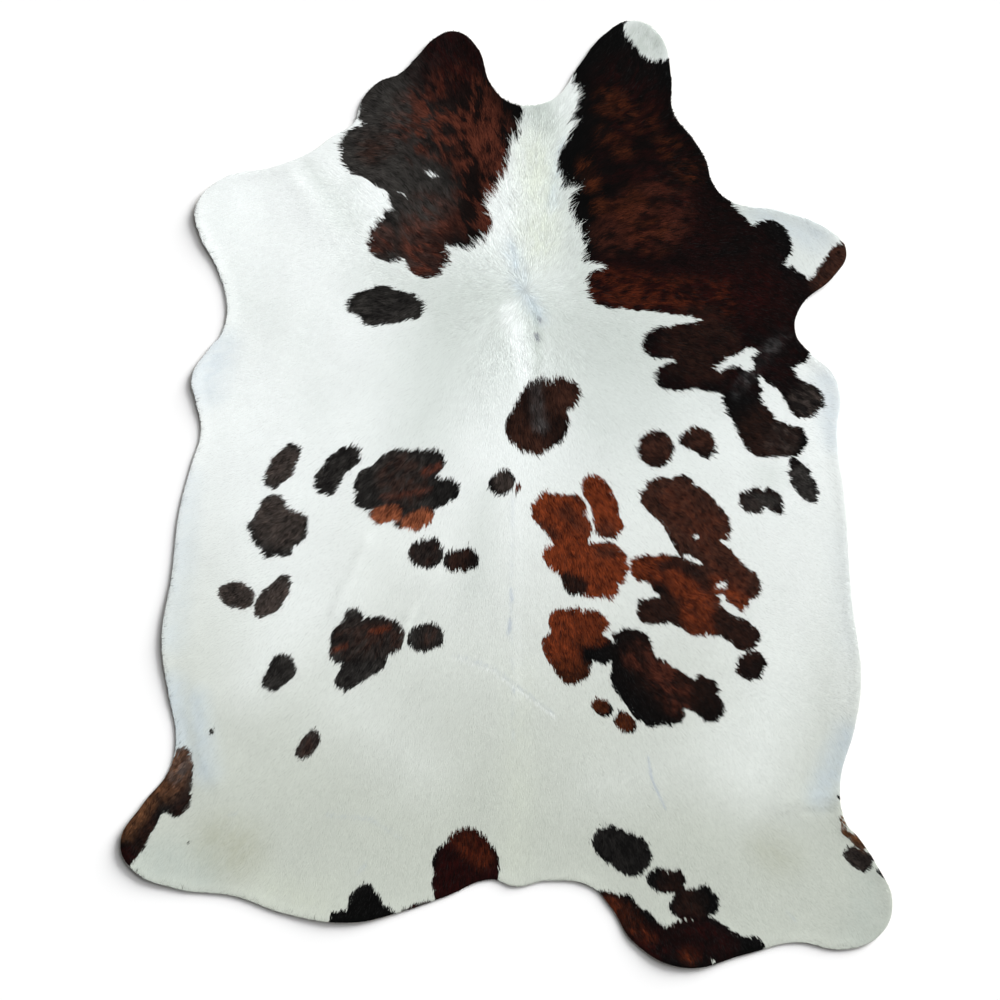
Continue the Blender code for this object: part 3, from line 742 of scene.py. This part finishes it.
def tinted(colours, pixels, way, tints, seed):
    """The colours with each tint laid over them."""
    for i, tint in enumerate(tints):
        share = fade(inside_strokes(pixels, tint.strokes) / tint.soft + 0.5)
        near = share > 0
        if not near.any():
            continue
        spots, lie = pixels[near] + (31 * i, 17 * i), way[near]  # moved, so that no two tints break up alike
        breaks = sum(part * streaks(spots, lie, size, seed + 8 * k) for k, (size, part) in enumerate(BRINDLE))
        breaks = 1 - tint.clumps + tint.clumps * fade((breaks - 0.5) * BRINDLE_CONTRAST + 0.5)
        share = (tint.strength * share[near] * breaks)[:, None]
        colours[near] += share * (hair_colour(tint.colour) - colours[near])
    return colours


def coat_colours(places, way, length):
    """(colour of the hair at each place, whether it is dark), for hair that lies this way and is this long"""
    pixels, way = Photo.pixels(places), way * (1, -1)
    wander = np.column_stack([rough_noise(pixels, size=11, seed=seed) - 0.5 for seed in (50, 54)])
    tufts = sum(noise(pixels + way * step, size=2.4, seed=58) - 0.5 for step in (-3, -1, 1, 3))
    ragged = pixels + wander * RAGGED + way * (tufts * TUFT * length / Photo.pixel)[:, None]
    dark = (inside_patches(ragged, PATCHES) > 0) & (inside_patches(ragged, WHITES) < 0)

    # the white turns creamier and darker toward the rump, the darkening partly painted shade
    back = down_the_hide(pixels, COAT_TURN)[:, None]
    white = hair_colour(COAT_FRONT) * (1 - back) + hair_colour(COAT_BACK) * back
    white = tinted(white, pixels, way, WHITE_TINTS, seed=64)
    white *= raised(CLOUDS, rough_noise(pixels, size=60, seed=60))[:, None]
    black = hair_colour(BLACK) * raised(BLACK_STREAKS, streaks(pixels, way, size=10, seed=68))[:, None]
    black = tinted(black, pixels, way, DARK_TINTS, seed=72)
    return np.where(dark[:, None], black, white), dark


def lie_of_hair(places):
    """(direction in which the hair's tips point, its length) at each place."""
    pixels = Photo.pixels(places)
    total, direction, length = np.zeros(len(places)), np.zeros((len(places), 2)), np.zeros(len(places))
    for row in LIES:
        away = ((pixels - (row.x, row.y)) ** 2).sum(axis=1)
        weight = 1 / (away + LIE_REACH**2) ** LIE_FALL
        way = np.array((row.across, -row.down)) / np.hypot(row.across, row.down)
        total += weight
        direction += weight[:, None] * way
        length += weight * row.length
    direction /= np.maximum(np.linalg.norm(direction, axis=1), 1e-9)[:, None]
    return direction, length / total


def turned(direction, angle):
    cos, sin = np.cos(angle), np.sin(angle)
    x, y = direction.T
    return np.column_stack([x * cos - y * sin, x * sin + y * cos])


# ---- Materials ----


class Nodes:
    """Builds a material's nodes with few words."""

    def __init__(self, name):
        self.material = bpy.data.materials.new(name)
        self.material.use_nodes = True
        self.tree = self.material.node_tree
        self.shader = self.tree.nodes["Principled BSDF"]

    def join(self, value, socket):
        if isinstance(value, bpy.types.NodeSocket):
            self.tree.links.new(value, socket)
        else:
            socket.default_value = value

    def add(self, kind, **sockets):
        node = self.tree.nodes.new(kind)
        for name, value in sockets.items():
            self.join(value, node.inputs[name.replace("_", " ")])
        return node

    def attribute(self, name, output):
        node = self.add("ShaderNodeAttribute")
        node.attribute_name = name
        return node.outputs[output]

    def noise(self, vector, scale, detail=3.0):
        return self.add("ShaderNodeTexNoise", Vector=vector, Scale=scale, Detail=detail).outputs["Fac"]

    def ramp(self, value, low, high):
        """From the low colour or grey to the high one, where the value is in its middle range."""
        node = self.add("ShaderNodeValToRGB", Fac=value)
        for element, place, colour in zip(node.color_ramp.elements, (0.3, 0.7), (low, high)):
            element.position = place
            element.color = (*np.broadcast_to(colour, 3), 1)
        return node.outputs["Color"]

    def spread(self, value, low, high):
        return self.add("ShaderNodeMapRange", Value=value, To_Min=low, To_Max=high).outputs[0]

    def times(self, colour, shade):
        """The colour multiplied by the shade."""
        node = self.add("ShaderNodeMix")
        node.data_type, node.blend_type = "RGBA", "MULTIPLY"
        sockets = {socket.identifier: socket for socket in (*node.inputs, *node.outputs)}
        for name, value in (("Factor_Float", 1.0), ("A_Color", colour), ("B_Color", shade)):
            self.join(value, sockets[name])
        return sockets["Result_Color"]

    def surface(self, colour, roughness, specular):
        sockets = ("Base Color", "Roughness", "Specular IOR Level")
        for name, value in zip(sockets, (colour, roughness, specular)):
            self.join(value, self.shader.inputs[name])
        return self.material

    def bump(self, height, strength, distance):
        node = self.add("ShaderNodeBump", Strength=strength, Distance=distance, Height=height)
        self.join(node.outputs[0], self.shader.inputs["Normal"])


def hair_material():
    """Hair: the lock's colour, with its painted shade and light, in finer strands that run along it."""
    made = Nodes("hair")
    along = made.add("ShaderNodeMapping", Vector=made.attribute("strand", "Vector"), Scale=(7.0, 1.2, 1.0))
    strands = made.noise(along.outputs[0], scale=1.0)
    made.bump(strands, strength=0.20, distance=0.0006)
    colour = made.times(made.attribute("coat_colour", "Color"), made.ramp(strands, 0.93, 1.0))
    return made.surface(colour, roughness=made.spread(strands, 0.66, 0.84), specular=0.05)


def skin_material():
    """The skin and the roots of the hair under the coat, darker than the hair as painted shade."""
    made = Nodes("skin under the hair")
    grain = made.noise(made.add("ShaderNodeTexCoord").outputs["Object"], scale=420.0)
    made.bump(grain, strength=0.4, distance=0.001)
    colour = made.times(made.attribute("coat_colour", "Color"), made.ramp(grain, 0.80, 1.0))
    return made.surface(colour, roughness=0.75, specular=0.2)


def suede_material():
    """The flesh side: pale, soft suede with darker clouds."""
    made = Nodes("suede")
    place = made.add("ShaderNodeTexCoord").outputs["Object"]
    cloud = made.noise(place, scale=5.0, detail=5.0)
    nap = made.noise(place, scale=600.0)
    made.bump(nap, strength=0.5, distance=0.001)
    colour = made.times(made.ramp(cloud, linear(SUEDE) * 0.82, linear(SUEDE)), made.ramp(nap, 0.84, 1.0))
    return made.surface(colour, roughness=made.spread(nap, 0.85, 1.0), specular=0.15)


# ---- The pieces ----

SKIN_MAP, SKIN_MAP_ROOM = 0.48, 0.01  # the part of the baked picture for each side of the skin, and the gap
LOCK_MAP_ROOM = 0.1  # the gap round each lock in its own small square of that picture


def make_skin(shape):
    """The tanned skin: a closed sheet with its fine folds, the roots of the hair on top and suede below."""
    edge = shape.edge
    half = Grid.count * GRID_STEP / 2
    lattice = hexagons(-half, half, LATTICE)
    lattice = lattice[shape.inside.at(lattice) > LATTICE * 0.6]
    flat = [tuple(place) for place in (*edge, *lattice)]
    rim = [(i, (i + 1) % len(edge)) for i in range(len(edge))]
    places, _, faces, *_ = delaunay_2d_cdt(flat, rim, [], 1, 1e-7)
    places, faces = np.array([tuple(p) for p in places]), np.array(faces)
    count = len(places)
    top = np.column_stack([places, shape.skin.at(places)])
    under = np.column_stack([places, np.minimum(shape.under.at(places), top[:, 2] - LEAST_SKIN)])
    corners = places[faces]
    turn = np.cross(corners[:, 1] - corners[:, 0], corners[:, 2] - corners[:, 0])
    faces[turn < 0] = faces[turn < 0][:, ::-1]
    here = np.arange(len(edge))
    ahead = np.roll(here, -1)
    if signed_area(edge) < 0:
        here, ahead = ahead, here
    below = here + count
    halves = (below, ahead + count, ahead), (below, ahead, here)
    rim_faces = np.vstack([np.column_stack(half) for half in halves])
    points, all_faces = np.vstack([top, under]), np.vstack([faces, faces[:, ::-1] + count, rim_faces])
    skin = new_object("hide_skin", points, all_faces, (skin_material(), suede_material()))
    is_under = np.repeat((0, 1, 0), (len(faces), len(faces), len(rim_faces))).astype(np.int32)
    skin.data.polygons.foreach_set("material_index", is_under)
    skin.data.shade_smooth()
    colours, dark = coat_colours(places, *lie_of_hair(places))
    # painted shade among the roots, darker under dark hair than under white
    colours *= np.where(dark, *PAINTED_ROOT_SHADE)[:, None]
    set_colours(skin.data, np.vstack([colours, colours]))
    uv = (points[all_faces.ravel()][:, :2] - Photo.low[:2]) / (Photo.high - Photo.low)[:2].max()
    uv = uv * SKIN_MAP + SKIN_MAP_ROOM
    uv[np.repeat(is_under, 3) == 1, 0] += 0.5  # the underside has the other half of the picture
    set_uv(skin.data, uv)
    return skin


def roots_of_hair(shape, chance):
    """Places of the locks' roots, spread evenly and a little at random over the hide."""
    area = (shape.inside.values > 0).sum() * GRID_STEP**2
    step = np.sqrt(area / LOCKS / (np.sqrt(3) / 2))
    places = hexagons(Photo.low, Photo.high, step)
    places += chance.uniform(-SCATTER, SCATTER, places.shape) * step
    return places[shape.inside.at(places) > EDGE_ROOM]


class Coat:
    """Locks or strands of hair: where each is rooted, how it lies and what colour it has.

    `outline` says how wide one is along its length against its widest, how high it stands there against the
    coat's depth, and how light it is there: painted shade, darkest at the root under the other locks.
    `curl` is how far they bend, in radians. `colour_at` is the place along one where it takes the coat's
    colour, and `under` how much shorter they are where others cover them.
    """

    def __init__(self, shape, root, chance, outline, curl, colour_at, under=0.0):
        self.shape, self.root, self.outline = shape, root, outline
        count = len(root)
        way, length = lie_of_hair(root)
        self.fluff = fade((length - SHORT_HAIR) / (LONG_HAIR - SHORT_HAIR))
        pixels = Photo.pixels(root)
        swirl = sum((noise(pixels, size, seed) - 0.5) * SWIRL for size, seed in ((9, 80), (26, 81)))
        self.way = turned(way, swirl + chance.normal(0, 1, count) * raised(STRAY, self.fluff))
        self.length = length * (1 - under * self.fluff) * chance.uniform(*LENGTHS, count)
        for _ in range(CUTS):
            tip = root + self.way * self.length[:, None]
            self.length = np.where(shape.inside.at(tip) < -OVERHANG, self.length * SHORTER, self.length)
        self.curl = curl * chance.normal(0, 1, count)
        self.rise = shape.coat.at(root) * (1 - chance.uniform(0, SETTLED, count) * (1 + self.fluff))
        seat = self.length * (colour_at + COLOUR_REACH * chance.normal(0, 1, count))
        colours, self.dark = coat_colours(root + self.way * seat[:, None], self.way, length)
        clump = rough_noise(pixels, size=4, seed=84) - 0.5
        combed = COMBED * down_the_hide(pixels, COMBED_TURN)
        clump_spread = np.where(self.dark, DARK_SHADES[0], raised(CLUMP_SHADES, self.fluff) + combed)
        lock_spread = np.where(self.dark, DARK_SHADES[1], raised(LOCK_SHADES, self.fluff) + combed)
        value = 1 + clump_spread * clump + chance.normal(0, 1, count) * lock_spread
        self.colour = colours * np.clip(value, *SHADES)[:, None]
        self.order = chance.permutation(count)

    def piece(self, name, members, width, material):
        """One joined mesh of the chosen locks. Each starts in one point, widens, and ends in one point."""
        share, wide, lift, shade = (np.array(column) for column in zip(*self.outline))
        way, length, curl = self.way[members], self.length[members], self.curl[members]
        side = np.column_stack([-way[:, 1], way[:, 0]])
        spots, flat, across, steps = [self.root[members]], [], [], []
        for i in range(1, len(share)):
            heading = turned(way, curl * (share[i] - 0.5) * 2)
            spots.append(spots[-1] + heading * (length * (share[i] - share[i - 1]))[:, None])
        for i, spot in enumerate(spots):
            for sign in (0,) if wide[i] == 0 else (-1, 1):
                flat.append(spot + side * (sign * wide[i] * width[members] / 2)[:, None])
                across.append(sign)
                steps.append(i)
        flat, across, steps = np.stack(flat, axis=1), np.array(across), np.array(steps)
        height = self.shape.skin.at(flat.reshape(-1, 2)).reshape(len(members), -1)
        height = height + lift[steps] * self.rise[members][:, None]
        leaf, last = [(0, 1, 2)], len(steps) - 3
        for k in range(1, last, 2):
            leaf += [(k, k + 2, k + 3), (k, k + 3, k + 1)]
        leaf.append((last, last + 2, last + 1))
        faces = (np.arange(len(members))[:, None, None] * len(steps) + np.array(leaf)).reshape(-1, 3)
        piece = new_object(name, np.dstack([flat, height]).reshape(-1, 3), faces, (material,))
        # painted shade along each lock: darker at its root, where other locks lie over it
        depth = np.where(self.dark, 1.0, raised(TIP_SHADE, self.fluff))[members][:, None]
        shades = 1 + (shade[steps] - 1) * depth
        set_colours(piece.data, (self.colour[members][:, None] * shades[:, :, None]).reshape(-1, 3))
        tilt = across[:, None] * raised(ROUND, self.fluff)[members][:, None, None] * side[:, None]
        self.set_normals(piece.data, flat, tilt)
        self.set_maps(piece.data, np.column_stack([across / 2 + 0.5, share[steps]]), faces)
        return piece

    def set_normals(self, mesh, flat, tilt):
        """Rounds each lock across: its sides face outwards, and all of it follows the skin's slope."""
        places = flat.reshape(-1, 2)
        slope = np.column_stack([grid.at(places) for grid in self.shape.slopes])
        normals = np.column_stack([tilt.reshape(-1, 2) - slope * SOFT_SLOPE, np.ones(len(places))])
        normals /= np.linalg.norm(normals, axis=1, keepdims=True)
        mesh.shade_smooth()
        mesh.normals_split_custom_set_from_vertices(normals.tolist())

    def set_maps(self, mesh, leaf, faces):
        """Where each corner is across and along its lock, and the lock's own square of the baked picture."""
        count = len(mesh.vertices) // len(leaf)
        shift = np.random.default_rng(count).uniform(0, 400, (count, 1, 2))  # so that no two locks look alike
        strand = np.tile(leaf, (count, 1, 1)) + shift
        layer = mesh.attributes.new("strand", "FLOAT_VECTOR", "POINT")
        full = np.dstack([strand, np.zeros(strand.shape[:2])])
        layer.data.foreach_set("vector", full.astype(np.float32).ravel())
        cells = int(np.ceil(np.sqrt(count)))
        cell = np.stack([np.arange(count) % cells, np.arange(count) // cells], axis=1)[:, None, :]
        uv = (cell + LOCK_MAP_ROOM + (1 - 2 * LOCK_MAP_ROOM) * leaf) / cells
        set_uv(mesh, uv.reshape(-1, 2)[faces.ravel()])


# The shade column is painted shade: a lock is darkest at its root, under the others, and lightest at its tip.
LOCK = table(
    "along width lift shade",
    (0.0, 0.0, 0.30, 0.82),
    (0.42, 1.0, 0.80, 1.0),
    (1.0, 0.0, 1.0, 1.05),
)
STRAND = table(
    "along width lift shade",
    (0.0, 0.0, 0.20, 0.84),
    (0.3, 1.0, 0.85, 0.96),
    (0.65, 0.8, 1.08, 1.0),
    (1.0, 0.0, 1.10, 1.04),
)


def short_locks(shape, material):
    """The short coat, over all of the hide, in layers."""
    chance = np.random.default_rng(seed=7)
    coat = Coat(shape, roots_of_hair(shape, chance), chance, LOCK, curl=0.10, colour_at=0.55, under=0.40)
    width = LOCK_WIDTH * chance.uniform(*LOCK_WIDTHS, len(coat.root)) * raised(FULL, coat.fluff)
    return [coat.piece(f"coat_layer_{i + 1}", coat.order[i::LAYERS], width, material) for i in range(LAYERS)]


def long_strands(shape, material):
    """Long, loose hair on the neck and shoulders and along the spine."""
    chance = np.random.default_rng(seed=11)
    root = roots_of_hair(shape, chance)
    length = lie_of_hair(root)[1]
    wanted = fade((length - STRANDS_FROM) / STRANDS_OVER) ** 1.5
    chosen = chance.random(len(root)) * wanted.sum() < STRANDS * wanted
    coat = Coat(shape, root[chosen], chance, STRAND, curl=0.30, colour_at=0.35)
    width = STRAND_WIDTH * chance.uniform(*STRAND_WIDTHS, len(coat.root))
    return coat.piece("mane", coat.order, width, material)


# ---- The stage ----


def make_stage():
    """A plain pale floor, soft lights from the upper right of the photograph, and even light all round."""
    bpy.ops.mesh.primitive_plane_add(size=FLOOR_SIZE, location=(0, 0, -FLOOR_DROP))
    floor = bpy.context.object
    floor.name = "floor"
    paint = Nodes("pale floor")
    grey = (FLOOR_GREY, FLOOR_GREY, FLOOR_GREY, 1)
    floor.data.materials.append(paint.surface(grey, roughness=0.9, specular=0.0))

    world = bpy.data.worlds.new("studio")
    bpy.context.scene.world = world
    world.use_nodes = True
    background = world.node_tree.nodes["Background"]
    background.inputs["Color"].default_value = (1, 1, 1, 1)
    background.inputs["Strength"].default_value = WORLD_LIGHT

    for row in LAMPS:
        light = bpy.data.lights.new(row.name, "SUN")
        light.energy = row.strength
        light.angle = np.radians(row.size)
        lamp = bpy.data.objects.new(row.name, light)
        bpy.context.scene.collection.objects.link(lamp)
        turn, height = np.radians(row.round), np.radians(row.above)
        towards = Vector((np.cos(turn) * np.cos(height), np.sin(turn) * np.cos(height), np.sin(height)))
        lamp.rotation_euler = towards.to_track_quat("Z", "Y").to_euler()


def make_camera():
    """Straight above the hide, with a long lens, and the photograph's middle in the middle of the picture."""
    distance = 8.0
    lens = bpy.data.cameras.new("camera")
    lens.lens = lens.sensor_width * distance / (PHOTO_SIZE * Photo.pixel)
    camera = bpy.data.objects.new("camera", lens)
    bpy.context.scene.collection.objects.link(camera)
    camera.location = (*Photo.metres((PHOTO_SIZE / 2, PHOTO_SIZE / 2)), distance)
    bpy.context.scene.camera = camera
    bpy.context.scene.view_settings.view_transform = "Standard"


def main():
    make_camera()
    make_stage()
    shape = Shape(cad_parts["hide"])
    skin = make_skin(shape)
    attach(skin, "root")
    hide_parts("hide")
    hair = hair_material()
    layers = [*short_locks(shape, hair), long_strands(shape, hair)]
    for layer in layers:
        layer.visible_shadow = False
        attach(layer, "root")


main()
